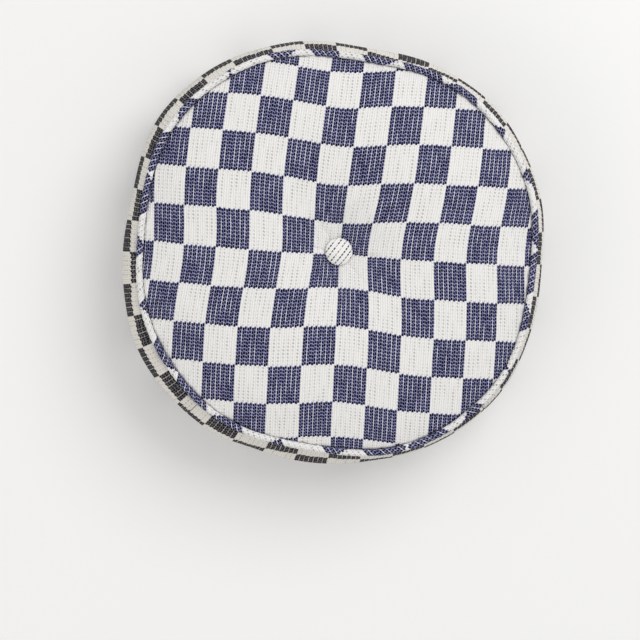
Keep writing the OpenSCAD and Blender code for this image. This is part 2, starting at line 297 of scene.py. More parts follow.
def checkedCloth(name, look):
    # floats lie in ribs, staggered on neighbouring ribs; checks change between two ribs, and along them
    # with a small tooth
    material, tree, shader = newMaterial(name, 0.88, shine=0.04)
    uv = tree.nodes.new("ShaderNodeUVMap")
    uv.uv_map = "cloth"
    across, along, _ = split(tree, uv.outputs[0])
    drift = calc(tree, "SUBTRACT", noise(tree, uv.outputs[0], 0.8, 1.0), 0.5)
    across = calc(tree, "MULTIPLY_ADD", drift, weave["wander"], across)
    driftAlong = calc(tree, "SUBTRACT", noise(tree, vector(tree, along, across, 4.0), 1.1, 2.0), 0.5)
    along = calc(tree, "MULTIPLY_ADD", driftAlong, 2 * weave["wander"], along)
    rib = calc(tree, "MULTIPLY", across, weave["ribs"])
    ribNumber = calc(tree, "FLOOR", rib)
    ribPart = calc(tree, "SUBTRACT", rib, ribNumber)
    fromRib = calc(tree, "SUBTRACT", ribPart, 0.5)
    odd = calc(tree, "FLOORED_MODULO", ribNumber, 2.0)
    stagger = calc(tree, "MULTIPLY", odd, weave["stagger"])
    slant = calc(tree, "MULTIPLY_ADD", odd, -0.7 * weave["slant"], weave["slant"])
    lean = calc(tree, "MULTIPLY", fromRib, slant)
    run = calc(tree, "ADD", calc(tree, "MULTIPLY_ADD", along, weave["dashes"], stagger), lean)
    runNumber = calc(tree, "FLOOR", run)
    fromRun = calc(tree, "SUBTRACT", calc(tree, "SUBTRACT", run, runNumber), 0.5)
    ribMiddle = calc(tree, "ADD", ribNumber, 0.5)
    checkAcross = calc(tree, "FLOOR", calc(tree, "DIVIDE", ribMiddle, weave["ribs"]))
    tooth = calc(tree, "MULTIPLY_ADD", odd, weave["tooth"], along)
    checkAlong = calc(tree, "FLOOR", tooth)
    cream = calc(tree, "FLOORED_MODULO", calc(tree, "ADD", checkAcross, checkAlong), 2.0)
    dark = calc(tree, "SUBTRACT", 1.0, cream)

    random = tree.nodes.new("ShaderNodeTexWhiteNoise")
    random.noise_dimensions = "2D"
    tree.links.new(vector(tree, ribNumber, runNumber), random.inputs["Vector"])
    chance = random.outputs["Value"]
    longHalf = calc(tree, "MULTIPLY_ADD", chance, 0.10, weave["floatLong"] / 2 - 0.05)
    endGap = calc(tree, "SUBTRACT", longHalf, calc(tree, "ABSOLUTE", fromRun))
    sideGap = calc(tree, "SUBTRACT", weave["floatWide"] / 2, calc(tree, "ABSOLUTE", fromRib))
    floats = calc(tree, "MULTIPLY", ramp(tree, endGap, -0.05, 0.05), ramp(tree, sideGap, -0.06, 0.06))

    pair = calc(tree, "FRACT", calc(tree, "MULTIPLY", rib, 0.5))
    toLine = calc(tree, "SUBTRACT", 0.5, calc(tree, "ABSOLUTE", calc(tree, "SUBTRACT", pair, 0.5)))
    line = calc(tree, "SUBTRACT", 1.0, ramp(tree, toLine, 0.04, 0.11))
    toFurrow = calc(tree, "SUBTRACT", 0.5, calc(tree, "ABSOLUTE", fromRib))
    furrowShade = calc(tree, "SUBTRACT", 1.0, ramp(tree, toFurrow, 0.06, 0.22))

    yarnPlace = vector(tree, calc(tree, "MULTIPLY", across, 9.0), calc(tree, "MULTIPLY", along, 1.6))
    slub = noise(tree, yarnPlace, 1.0, 3.0)
    fuzz = noise(tree, uv.outputs[0], 70.0, 2.0)
    lineShare = calc(tree, "MULTIPLY", line, ramp(tree, slub, 0.30, 0.62))
    ground = blendColour(tree, lineShare, tone(*look["ground"]), tone(*look["line"]))
    uncovered = calc(tree, "SUBTRACT", 1.0, lineShare)
    floatShare = calc(tree, "MULTIPLY", calc(tree, "MULTIPLY", floats, uncovered),
                      calc(tree, "MULTIPLY_ADD", chance, 0.05, 0.95))
    darkColour = blendColour(tree, floatShare, ground, tone(*look["float"]))
    # painted shade: the cream darkens towards the furrows between its ribs
    furrowShadeShare = calc(tree, "MULTIPLY", furrowShade, 0.7)
    creamColour = blendColour(tree, furrowShadeShare, tone(*look["cream"]), tone(*look["furrowShade"]))
    dotTall = ramp(tree, calc(tree, "SUBTRACT", 0.24, calc(tree, "ABSOLUTE", fromRun)), -0.06, 0.06)
    dotWide = ramp(tree, calc(tree, "SUBTRACT", 0.24, toLine), -0.06, 0.06)
    dotShare = calc(tree, "MULTIPLY", calc(tree, "MULTIPLY", dotTall, dotWide),
                    calc(tree, "MULTIPLY", ramp(tree, slub, 0.36, 0.66), 0.6))
    creamColour = blendColour(tree, dotShare, creamColour, tone(*look["dot"]))
    colour = blendColour(tree, dark, creamColour, darkColour)
    worn = calc(tree, "MULTIPLY", ramp(tree, fuzz, 0.55, 0.8), 0.03)
    colour = blendColour(tree, worn, colour, tone(*look["line"]))
    tree.links.new(colour, shader.inputs["Base Color"])
    roughness = calc(tree, "MULTIPLY_ADD", floats, -0.12, 0.93)
    tree.links.new(roughness, shader.inputs["Roughness"])

    ridge = calc(tree, "SUBTRACT", 1.0, calc(tree, "MULTIPLY", calc(tree, "ABSOLUTE", fromRib), 1.6))
    raised = calc(tree, "MULTIPLY_ADD", calc(tree, "MULTIPLY", floats, dark), 0.5, ridge)
    relief(tree, shader, calc(tree, "MULTIPLY_ADD", fuzz, 0.35, raised), 0.00045, 0.8)
    return material


panelCloth = checkedCloth("checked cloth", clothLooks["panel"])
# the side and the zip strips take the greyer, warmer copy of the cloth, partly painted shade
shadedSideCloth = checkedCloth("checked cloth of the side", clothLooks["side"])
pipingLook = {**clothLooks["panel"], "dot": (40, 39, 50)}       # its yarns open a little where it bends
pipingCloth = checkedCloth("checked cloth of the piping", pipingLook)


buttonLook = {"line": 0.0052, "dash": 0.0038, "turn": 38}


def buttonCloth():
    # the cream of the same cloth on the slant, with its dotted lines a little darker
    material, tree, shader = newMaterial("button cloth", 0.88, sheen=0.12)
    uv = tree.nodes.new("ShaderNodeUVMap")
    uv.uv_map = "cloth"
    across, along, _ = split(tree, uv.outputs[0])
    fromLine = calc(tree, "SUBTRACT", calc(tree, "FRACT", across), 0.5)
    fromDash = calc(tree, "SUBTRACT", calc(tree, "FRACT", along), 0.5)
    slim = ramp(tree, calc(tree, "SUBTRACT", 0.145, calc(tree, "ABSOLUTE", fromLine)), -0.03, 0.03)
    short = ramp(tree, calc(tree, "SUBTRACT", 0.36, calc(tree, "ABSOLUTE", fromDash)), -0.04, 0.04)
    dash = calc(tree, "MULTIPLY", slim, short)
    fading = noise(tree, uv.outputs[0], 0.6, 1.0)
    ribPart = calc(tree, "FRACT", calc(tree, "MULTIPLY", across, 2.0))
    rib = calc(tree, "ABSOLUTE", calc(tree, "SUBTRACT", ribPart, 0.5))
    # painted shade: the cream is darker between its ribs, as on the panel's cream
    cream = blendColour(tree, ramp(tree, rib, 0.36, 0.5), tone(250, 249, 247), tone(229, 227, 224))
    strength = calc(tree, "MULTIPLY", dash, ramp(tree, fading, 0.2, 0.62))
    tree.links.new(blendColour(tree, strength, cream, tone(48, 47, 58)), shader.inputs["Base Color"])
    relief(tree, shader, calc(tree, "SUBTRACT", dash, rib), 0.0004, 0.7)
    return material


def speckled(name, light, shade, scale, roughness, depth, metallic=0.0, detail=4.0, stretch=(1, 1, 1)):
    # two close colours mixed by noise, with the same noise as a fine relief
    material, tree, shader = newMaterial(name, roughness, metallic)
    mapping = tree.nodes.new("ShaderNodeMapping")
    mapping.inputs["Scale"].default_value = stretch
    tree.links.new(objectPlace(tree), mapping.inputs["Vector"])
    grain = noise(tree, mapping.outputs[0], scale, detail, 0.6)
    patches = noise(tree, objectPlace(tree), scale / 12, 2.0)
    mixed = blendColour(tree, ramp(tree, grain, 0.35, 0.65), tone(*light), tone(*shade))
    patchShare = calc(tree, "MULTIPLY", ramp(tree, patches, 0.4, 0.75), 0.35)
    mixed = blendColour(tree, patchShare, mixed, tone(*shade))
    tree.links.new(mixed, shader.inputs["Base Color"])
    rough = calc(tree, "MULTIPLY_ADD", grain, 0.16, roughness - 0.08)
    tree.links.new(rough, shader.inputs["Roughness"])
    relief(tree, shader, grain, depth)
    return material


def twistedCotton(name, light, shade, turns):
    # plied yarn: slanted bands along the piece's own length coordinate
    material, tree, shader = newMaterial(name, 0.9, sheen=0.2)
    uv = tree.nodes.new("ShaderNodeUVMap")
    uv.uv_map = "cloth"
    across, along, _ = split(tree, uv.outputs[0])
    phase = calc(tree, "ADD", calc(tree, "MULTIPLY", across, turns), calc(tree, "MULTIPLY", along, 6.0))
    band = calc(tree, "ABSOLUTE", calc(tree, "SUBTRACT", calc(tree, "FRACT", phase), 0.5))
    fibre = noise(tree, objectPlace(tree), 2600.0, 3.0)
    tree.links.new(blendColour(tree, ramp(tree, calc(tree, "MULTIPLY_ADD", fibre, 0.2, band), 0.2, 0.6),
                               tone(*light), tone(*shade)), shader.inputs["Base Color"])
    relief(tree, shader, calc(tree, "MULTIPLY_ADD", fibre, -0.4, band), 0.0002)
    return material


buttonMaterial = buttonCloth()
foamMaterial = speckled("seat foam", (245, 232, 190), (226, 206, 150), 900, 0.95, 0.0006)
waddingMaterial = speckled("polyester wadding", (250, 250, 250), (226, 228, 232), 260, 0.97, 0.0015,
                           detail=8.0)
cottonMaterial = twistedCotton("cotton cord", (238, 228, 205), (196, 180, 148), 1.0)
threadMaterial = speckled("sewing thread", (240, 237, 230), (214, 209, 198), 2200, 0.7, 0.0001)
twineMaterial = speckled("waxed twine", (226, 208, 170), (188, 164, 120), 1800, 0.55, 0.0002,
                         stretch=(1, 1, 0.35))
steelMaterial = speckled("zinc plated steel", (198, 200, 202), (160, 163, 168), 1400, 0.34, 0.00003, 1.0)
nickelMaterial = speckled("nickel plated zip metal", (205, 203, 198), (150, 148, 144), 700, 0.28, 0.00004,
                          1.0)
teethMaterial = speckled("moulded zip teeth", (236, 230, 214), (216, 208, 188), 800, 0.42, 0.00004)


def tapeCloth():
    # narrow herringbone: ribs along the tape, slanting one way and then the other
    material, tree, shader = newMaterial("zip tape", 0.85, sheen=0.1)
    x, y, z = split(tree, objectPlace(tree))
    turn = calc(tree, "MULTIPLY", calc(tree, "ARCTAN2", y, x), edgeRadius / 0.0012)
    rise = calc(tree, "MULTIPLY", z, 1 / 0.0024)
    zigzag = calc(tree, "PINGPONG", rise, 1.0)
    rib = calc(tree, "FRACT", calc(tree, "MULTIPLY_ADD", zigzag, 1.4, turn))
    ridge = calc(tree, "ABSOLUTE", calc(tree, "SUBTRACT", rib, 0.5))
    fibre = noise(tree, objectPlace(tree), 1500.0, 2.0)
    tree.links.new(blendColour(tree, ramp(tree, calc(tree, "MULTIPLY_ADD", fibre, 0.2, ridge), 0.15, 0.6),
                               tone(238, 232, 218), tone(204, 196, 178)), shader.inputs["Base Color"])
    relief(tree, shader, calc(tree, "SUBTRACT", 0.5, ridge), 0.0002)
    return material


tapeMaterial = tapeCloth()
print("materials made")


# The two round cover panels.

panel = {
    "around": 480,
    "rows": 85,
    "hole": 0.0023,
    "edge": body["seamRadius"] + 0.0016 - body["pipingTube"] - 0.00035,
    "crown": 0.0160,            # how far the top rises above its seam
    "dimple": 0.020,            # how deep the button pulls it in, and how far out that reaches
    "dimpleReach": 0.046,
    "underDimple": 0.014,
    "underFlatStart": 0.060,    # the underside rests flat between these two
    "underFlatEnd": body["seamRadius"] - 0.045,
    "pucker": 0.0005,
    "hills": 0.0011,            # unevenness of the filling
}
settling = {
    "skipAround": 3,            # the coarse copy takes every third line round
    "skipRows": 2,              # and every second line outwards
    "frames": 22,
    "pressure": 4.0,
    "slack": -0.004,            # below zero the cloth grows
    "most": 0.0045,             # the farthest that a point may move
    "inward": 0.0011,           # and the farthest inwards
}
# Creases that run out from the button: (direction, depth, length, width in degrees).
creases = (
    (88, 0.0016, 0.030, 9), (128, 0.0009, 0.024, 8), (172, 0.0015, 0.032, 9), (213, 0.0008, 0.022, 8),
    (266, 0.0018, 0.034, 9), (305, 0.0008, 0.024, 9), (352, 0.0014, 0.030, 9), (38, 0.0009, 0.024, 8),
)


def topHeight(radius):
    crown = panel["crown"] * (1 - (radius / body["seamRadius"]) ** 4)
    return body["seamZ"] + crown - panel["dimple"] * np.exp(-(radius / panel["dimpleReach"]) ** 2.6)


def underHeight(radius):
    lift = body["halfBoxing"] * 2
    rise = (body["seamZ"] - lift) * (1 - np.cos(np.pi / 2 * (radius - panel["underFlatEnd"])
                                               / (body["seamRadius"] - panel["underFlatEnd"])))
    dip = panel["underDimple"] * (1 + np.cos(np.pi * radius / panel["underFlatStart"])) / 2
    outside = np.where(radius > panel["underFlatEnd"], rise, 0)
    return np.where(radius < panel["underFlatStart"], dip, outside)


def creaseDepth(around, radius):
    # sharp valleys that start at the button's edge and die out along their length
    total = 0
    for direction, depth, length, width in creases:
        off = np.abs((around - direction + 180) % 360 - 180)
        fade = np.exp(-((radius - buttonRadius) / length) ** 2) * smooth(0, buttonRadius, radius)
        total = total + depth * fade * np.exp(-(off / width) ** 1.4)
    return total


def puckers(around, toSeam):
    # small gathers along a seam, uneven in spacing
    ripple = np.cos(np.radians(97 * around)) + 0.6 * np.cos(np.radians(61 * around + 40))
    return panel["pucker"] * ripple * np.exp(-toSeam / 0.007)


def slowHills(x, y):
    # the filling is never quite even
    hills = np.sin(31 * x + 11 * y + 0.4) * np.cos(23 * y - 0.7) + 0.5 * np.sin(47 * y - 19 * x + 2.0)
    return panel["hills"] * hills


def panelGrid():
    # lines run out from the twine hole to the seam, one for each direction round the cushion
    around = np.arange(panel["around"]) * 360 / panel["around"]
    out = np.linspace(0, 1, panel["rows"]) ** 0.92
    radius = panel["hole"] + (panel["edge"] - panel["hole"]) * out
    around, radius = np.meshgrid(around, radius, indexing="ij")
    stretch = 1 + (seamStretch(around) - 1) * (radius / panel["edge"]) ** 2
    return around, radius, stretch


# How the checks lie on the top, lengths in mm: check is one check's length, tilt the distance across in
# which the cloth drifts by one check, bow the checks it bends at 100 mm, pull (checks drawn in at the
# button, how soon, how wide) and rim the checks it is stretched at 200 mm.
topLay = {
    "across": {"start": -0.0485, "check": 34.6, "tilt": 383, "bow": -0.0532,
               "pull": (0.181, 22.5, 51), "rim": 0.147},
    "along": {"start": -1.114, "check": 40.65, "tilt": -595, "bow": 0.0125,
              "pull": (0.194, 28, 53), "rim": 0.12},
}


def layOut(lay, run, other):
    # an even spacing, a tilt, a little bow, a quicker change close to the button and a stretch at the rim
    much, soon, wide = lay["pull"]
    pull = much * np.tanh(run / soon) * np.exp(-(other / wide) ** 2)
    even = lay["start"] + run / lay["check"] + other / lay["tilt"] + lay["bow"] * (other / 100) ** 2
    return even + pull + lay["rim"] * (run / 200) ** 7


def topChecks(points):
    x, y = -points[..., 0] * 1000, points[..., 1] * 1000
    return np.stack([layOut(topLay["across"], x, y) + 20, layOut(topLay["along"], y, x) + 20], axis=-1)


def wrapped(values, rows=True, columns=False):
    # the first line again after the last
    if rows:
        values = np.concatenate([values, values[:1]])
    if columns:
        values = np.concatenate([values, values[:, :1]], axis=1)
    return values


def topPanelPoints():
    around, radius, stretch = panelGrid()
    flat = place(around, radius * stretch, 0)
    rise = topHeight(radius) - creaseDepth(around, radius)
    rise = rise + puckers(around, panel["edge"] - radius)
    middlePart = smooth(buttonRadius, 0.06, radius) * smooth(0, 0.03, panel["edge"] - radius)
    rise = rise + slowHills(flat[..., 0], flat[..., 1]) * middlePart
    return place(around, radius * stretch, rise)


def underPanelPoints():
    around, radius, stretch = panelGrid()
    rise = underHeight(radius)
    rise = rise + np.abs(puckers(around, panel["edge"] - radius))
    rise = rise + 0.6 * creaseDepth(around + 17, radius)
    return place(around, radius * stretch, rise)


def underChecks(points):
    # the same cloth turned a few degrees, with nothing matched to the top
    turn = math.radians(4)
    x, y = points[..., 0] / weave["checkWide"], points[..., 1] / weave["checkLong"]
    across = x * math.cos(turn) - y * math.sin(turn) + 20.3
    along = x * math.sin(turn) + y * math.cos(turn) + 20.6
    return np.stack([across, along], axis=-1)


def settle(points, up):
    # a coarse copy of the panel, a little too big and held at the seam and under the button, is blown out
    # by its filling as cloth; the answer is how far each coarse point moved
    rows, columns = points.shape[:2]
    faces, _ = gridFaces(rows, columns, True, False)
    if up > 0:
        faces = faces[:, ::-1]        # the pressure pushes along the faces' normals, so they must face out
    mesh = bpy.data.meshes.new("settling")
    mesh.from_pydata(points.reshape(-1, 3).tolist(), [], faces.tolist())
    thing = bpy.data.objects.new("settling", mesh)
    bpy.context.scene.collection.objects.link(thing)
    held = np.linalg.norm(points[..., :2], axis=-1) < buttonRadius - 0.003
    held[:, -1] = True
    pins = thing.vertex_groups.new(name="held")
    pins.add(np.flatnonzero(held.ravel()).tolist(), 1.0, "REPLACE")
    cloth = thing.modifiers.new("cloth", "CLOTH")
    cloth.settings.quality = 6
    cloth.settings.vertex_group_mass = "held"
    cloth.settings.shrink_min = settling["slack"]
    cloth.settings.use_pressure = True
    cloth.settings.uniform_pressure_force = settling["pressure"]
    cloth.settings.effector_weights.gravity = 0
    for step in range(1, settling["frames"] + 1):
        bpy.context.scene.frame_set(step)
    settled = thing.evaluated_get(bpy.context.evaluated_depsgraph_get())
    moved = np.empty(rows * columns * 3)
    settled.data.vertices.foreach_get("co", moved)
    bpy.context.scene.frame_set(1)
    bpy.data.objects.remove(thing)
    bpy.data.meshes.remove(mesh)
    return moved.reshape(rows, columns, 3) - points


def finer(moved):
    # coarse moves carried to the fine lines between them, then evened out with their neighbours
    at = np.arange(panel["around"]) / settling["skipAround"]
    low = np.floor(at).astype(int)
    part = (at - low)[:, None, None]
    moved = moved[low] * (1 - part) + moved[(low + 1) % len(moved)] * part
    at = np.arange(panel["rows"]) / settling["skipRows"]
    low = np.minimum(np.floor(at).astype(int), moved.shape[1] - 2)
    part = (at - low)[None, :, None]
    moved = moved[:, low] * (1 - part) + moved[:, low + 1] * part
    for again in range(3):
        moved = (np.roll(moved, 1, 0) + 2 * moved + np.roll(moved, -1, 0)) / 4
    return moved


def blownOut(points, up):
    # the drawn shape plus its simulated move, which is kept small and hardly goes inwards
    moved = finer(settle(points[::settling["skipAround"], ::settling["skipRows"]], up))
    print("cloth moved up to", round(float(np.abs(moved).max()) * 1000, 1), "mm, mean outwards",
          round(float(up * moved[..., 2].mean()) * 1000, 2), "mm")
    length = np.linalg.norm(moved, axis=-1, keepdims=True) + 1e-9
    moved = moved / length * settling["most"] * np.tanh(length / settling["most"])
    moved[..., 2] = up * np.maximum(up * moved[..., 2], -settling["inward"])
    return points + moved


topPoints = topPanelPoints()
topCloth = topChecks(topPoints)
topPoints = blownOut(topPoints, 1)
piece("top_panel_cloth", [grid(topPoints, wrapped(topCloth), wrapRows=True, flip=True)],
      panelCloth, ["top_panel"], wall=body["clothThick"])
underPoints = underPanelPoints()
underCloth = underChecks(underPoints)
underPoints = blownOut(underPoints, -1)
underPoints[..., 2] = np.maximum(underPoints[..., 2], 0)        # flat where it rests on the seat
piece("bottom_panel_cloth", [grid(underPoints, wrapped(underCloth), wrapRows=True)],
      panelCloth, ["bottom_panel"], wall=body["clothThick"])
print("panels made")


# The side strip, and the two half strips at the zip.

boxing = {
    "end": 0.942,               # share of the way to the seam at which the cloth meets the piping
    "rows": 22,
    "perDegree": 2.0,
    "period": 8.86,             # one check round the cushion, in degrees
    "topRow": 0.0165,           # the first change of check lies this far below the top seam
    "rowDrop": 0.0045,          # and this much more at the -X side
    "rowDips": ((6, 0.0060, 12), (250, 0.0095, 10)),    # and less where cut closer: direction, depth, width
    "gather": 0.0005,
    "sag": 0.0007,
    "hollow": (0.27, 0.5),      # the strips come out of the hollow over the tape between these shares
    "joinDeep": 0.0010,         # the groove at a join
    "joinWide": 0.0012,
    "full": 0.0020,             # how much fuller than an arc the side is near its seams
    "fullerAtFront": 0.0015,    # and this much more or less towards +X and -X
    "hem": 0.009,               # turned under along the zip
    "roll": 0.0004,             # bend of the fold there
    "stripThick": 0.0004,
    "lowerShift": 0.2,          # the lower strip was cut this much of a check further along
}
# The side is pieced from three lengths: (from, to, direction of one known check edge, its check number).
boxingLengths = ((90 + zipReach, 209, 194, 1), (209, 292.5, 216, 1), (292.5, 450 - zipReach, 298, 10))


def sidePoint(around, share, inset=0):
    # one arc from seam to seam, -1 to 1, scaled to the hand-sewn outline, a little fuller near the seams
    tilt = share * body["seamAngle"]
    radius = body["arcCentre"] + (body["arcRadius"] - inset) * np.cos(tilt)
    height = midZ + (body["arcRadius"] - inset) * np.sin(tilt)
    offZip = np.abs((around - body["zipAt"] + 180) % 360 - 180)
    free = smooth(zipReach - 1, zipReach + 12, offZip)
    near = 1 - share ** 4
    atZip = 1 - smooth(*boxing["hollow"], np.abs(share))
    stretch = seamStretch(around) * (1 - near) + sideStretch(around, atZip) * near
    swell = boxing["full"] + boxing["fullerAtFront"] * np.cos(np.radians(around))
    fuller = swell * 4 * share ** 2 * (1 - share ** 2) * np.maximum(smooth(0.16, 0.4, np.abs(share)), free)
    folds = np.cos(np.radians(83 * around)) + 0.7 * np.cos(np.radians(47 * around + 70))
    gather = boxing["gather"] * folds * np.clip(np.abs(share), 0, 1) ** 3
    gather = gather * smooth(0.25, 0.5, np.abs(share))
    sag = boxing["sag"] * np.cos(np.radians(13 * around + 20)) * (1 - share ** 2) * free
    return place(around, radius * stretch + fuller + gather + sag, height)


def sideChecks(around, share, edgeAt, number):
    down = (1 - share) * body["seamAngle"] * body["arcRadius"]
    eased = around + 1.25 * np.sin(np.radians(around))
    across = (eased - edgeAt) / boxing["period"] + number
    row = boxing["topRow"] + boxing["rowDrop"] * (1 - np.cos(np.radians(around))) / 2
    for direction, depth, width in boxing["rowDips"]:
        row = row - depth * np.exp(-(((around - direction + 180) % 360 - 180) / width) ** 2)
    along = (down - row) / weave["checkLong"]
    return np.stack([across + 20, along + 20 + 0 * across], axis=-1)


def sidePatch(start, end, edgeAt, number):
    # one length of the boxing, from the bottom piping up to the top one
    count = int((end - start) * boxing["perDegree"])
    shares = np.linspace(-boxing["end"], boxing["end"], boxing["rows"])
    around, share = np.meshgrid(np.linspace(start, end, count), shares, indexing="ij")
    return around, sidePoint(around, share), sideChecks(around, share, edgeAt, number)


def boxingPatches():
    patches = []
    for start, end, edgeAt, number in boxingLengths:
        around, points, cloth = sidePatch(start, end, edgeAt, number)
        toJoin = np.minimum(np.abs(around - start), np.abs(end - around)) * edgeRadius * math.pi / 180
        dip = boxing["joinDeep"] * np.exp(-(toJoin / boxing["joinWide"]) ** 2)
        outward = points[..., :2] / np.linalg.norm(points[..., :2], axis=-1, keepdims=True)
        points[..., :2] -= outward * dip[..., None]
        patches.append(grid(points, cloth))
    return patches


piece("boxing_cloth", boxingPatches(), shadedSideCloth, ["boxing_strip"],
      wall=body["clothThick"])


def zipStrip(side):
    # the outer layer runs from the seam to the placket, rolls under and comes back inside as the hem
    placket = math.asin(placketHalf / body["arcRadius"]) / body["seamAngle"]
    roll = boxing["roll"]
    hemShare = boxing["hem"] / body["arcRadius"] / body["seamAngle"]
    outer = np.linspace(boxing["end"], placket + 0.01, 26)
    bend = np.linspace(0, math.pi, 7)
    folded = placket + 0.01 - 0.010 * np.sin(bend)
    shares = np.concatenate([outer, folded, np.linspace(placket + 0.01, placket + hemShare, 8)])
    insets = np.concatenate([0 * outer, roll * (1 - np.cos(bend)), np.full(8, 2 * roll)])
    count = int(2 * zipReach * 2)
    around = np.linspace(90 - zipReach, 90 + zipReach, count)
    aroundGrid, shareGrid = np.meshgrid(around, shares, indexing="ij")
    points = sidePoint(aroundGrid, side * shareGrid, insets[None] + 0.0001)
    step = np.abs(np.diff(shares)) + np.diff(insets) / body["arcRadius"] / body["seamAngle"]
    length = np.concatenate([[0], np.cumsum(step)])
    flatShare = boxing["end"] - length
    cloth = sideChecks(aroundGrid + 360, side * flatShare[None] + 0 * aroundGrid, 298, 10)
    cloth[..., 1] += boxing["lowerShift"] * (side < 0)
    return grid(points, cloth, flip=side > 0)


piece("zip_strip_upper_cloth", [zipStrip(1)], shadedSideCloth, ["zip_strip_upper"],
      wall=boxing["stripThick"])
piece("zip_strip_lower_cloth", [zipStrip(-1)], shadedSideCloth, ["zip_strip_lower"],
      wall=boxing["stripThick"])
print("boxing made")


# The piping and the cord in it.

piping = {
    "around": 900,
    "tube": 20,
    "cloth": 0.0008,
    "bias": 36,                 # angle between the strip and the ribs of the cloth, in degrees
    "flange": 0.0055,
    "wrinkle": 0.00022,
}
# The bias strip is pieced from four lengths: (from, to, phase across, phase along).
pipingLengths = ((160, 270, 0.35, 0.80), (270, 365, 0.35, 0.25), (5, 82, 1.25, 0.35), (82, 160, 1.70, 0.50))


def pipingPath(around, up):
    radius = pipingRadius * seamStretch(around)
    sway = 0.0006 * np.cos(np.radians(11 * around + 30)) + 0.0004 * np.cos(np.radians(23 * around))
    height = midZ + up * (pipingZ - midZ + sway)
    return radius, height


def pipingTube(start, end, phaseAcross, phaseAlong, up):
    # a tube round the seam; the cloth lies on it at an angle, so the ribs wind round it
    count = int((end - start) * piping["around"] / 360) + 1
    turn = np.linspace(-135, 225, piping["tube"] + 1)
    around, turn = np.meshgrid(np.linspace(start, end, count), turn, indexing="ij")
    run = np.radians(around - start) * pipingRadius
    over = np.radians(90 - turn) * body["pipingTube"]
    radius, height = pipingPath(around, up)
    wrinkle = piping["wrinkle"] * np.cos(2 * np.pi * (run * 0.81 + over * 0.9) / 0.0058)
    wrinkle = wrinkle + 0.5 * piping["wrinkle"] * np.cos(2 * np.pi * (run * 0.6 - over) / 0.0131)
    thick = body["pipingTube"] + wrinkle
    turn = np.radians(turn)
    points = place(around, radius + thick * np.cos(turn), height + up * thick * np.sin(turn))
    bias = math.radians(piping["bias"])
    across = (run * math.cos(bias) - over * math.sin(bias)) / weave["checkWide"] + phaseAcross
    along = (run * math.sin(bias) + over * math.cos(bias)) / weave["checkLong"] + phaseAlong
    return grid(points, np.stack([across + 20, along + 20], axis=-1), flip=up < 0)


def pipingFlange(up):
    # the strip's two edges, sewn together and pointing down into the seam
    around = np.arange(480) * 0.75
    lean = math.radians(225)
    reach = (body["pipingTube"] - 0.0004, body["pipingTube"] + piping["flange"])
    side = piping["cloth"] * 0.98
    corners = [(reach[0], side), (reach[1], side), (reach[1], -side), (reach[0], -side)]
    aroundGrid, number = np.meshgrid(around, np.arange(4), indexing="ij")
    corner = np.array(corners)[number]
    radius, height = pipingPath(aroundGrid, up)
    out = corner[..., 0] * math.cos(lean) - corner[..., 1] * math.sin(lean)
    rise = corner[..., 0] * math.sin(lean) + corner[..., 1] * math.cos(lean)
    points = place(aroundGrid, radius + out, height + up * rise)
    cloth = np.stack([np.radians(aroundGrid) * 5.9, corner[..., 0] / 0.04], axis=-1)
    cloth = wrapped(cloth, rows=True, columns=True) + 20
    return grid(points, cloth, wrapRows=True, wrapColumns=True, flip=up < 0)


def makePiping(name, node, up, shift):
    tubes = [pipingTube(start, end, across + shift, along, up) for start, end, across, along in pipingLengths]
    piece(name, [*tubes, pipingFlange(up)], pipingCloth, [node])


makePiping("top_piping_cloth", "top_piping", 1, 0)
makePiping("bottom_piping_cloth", "bottom_piping", -1, 0.7)


def cottonCord(name, node, up):
    # three strands laid up: the section is a trefoil that turns as it goes round
    around = np.arange(1200) * 0.3
    turn = np.arange(18) * 20.0
    aroundGrid, turnGrid = np.meshgrid(around, turn, indexing="ij")
    twist = aroundGrid * 60
    thick = cordRadius * (0.90 + 0.10 * np.abs(np.cos(np.radians(1.5 * (turnGrid - twist)))))
    radius, height = pipingPath(aroundGrid, up)
    points = place(aroundGrid, radius + thick * np.cos(np.radians(turnGrid)),
                   height + up * thick * np.sin(np.radians(turnGrid)))
    cloth = np.stack([aroundGrid * 60 / 360, turnGrid / 360], axis=-1)
    cloth = wrapped(cloth, rows=True, columns=True)
    cloth[-1, :, 0] = 60
    cloth[:, -1, 1] = 1
    piece(name, [grid(points, cloth, wrapRows=True, wrapColumns=True, flip=up < 0)],
          cottonMaterial, [node])


cottonCord("top_cotton_cord", "top_piping_cord", 1)
cottonCord("bottom_cotton_cord", "bottom_piping_cord", -1)
print("piping made")


# The covered buttons.

button = {
    "dome": 0.0048,             # height of the rounded top
    "skirt": 0.0016,            # height of the straight edge under it
    "tuck": 0.0102,             # the cloth is drawn in underneath to a ring of this radius
    "around": 144,
    "pleats": 30,
    "pleatDeep": 0.00028,
    "wall": 0.0007,
}


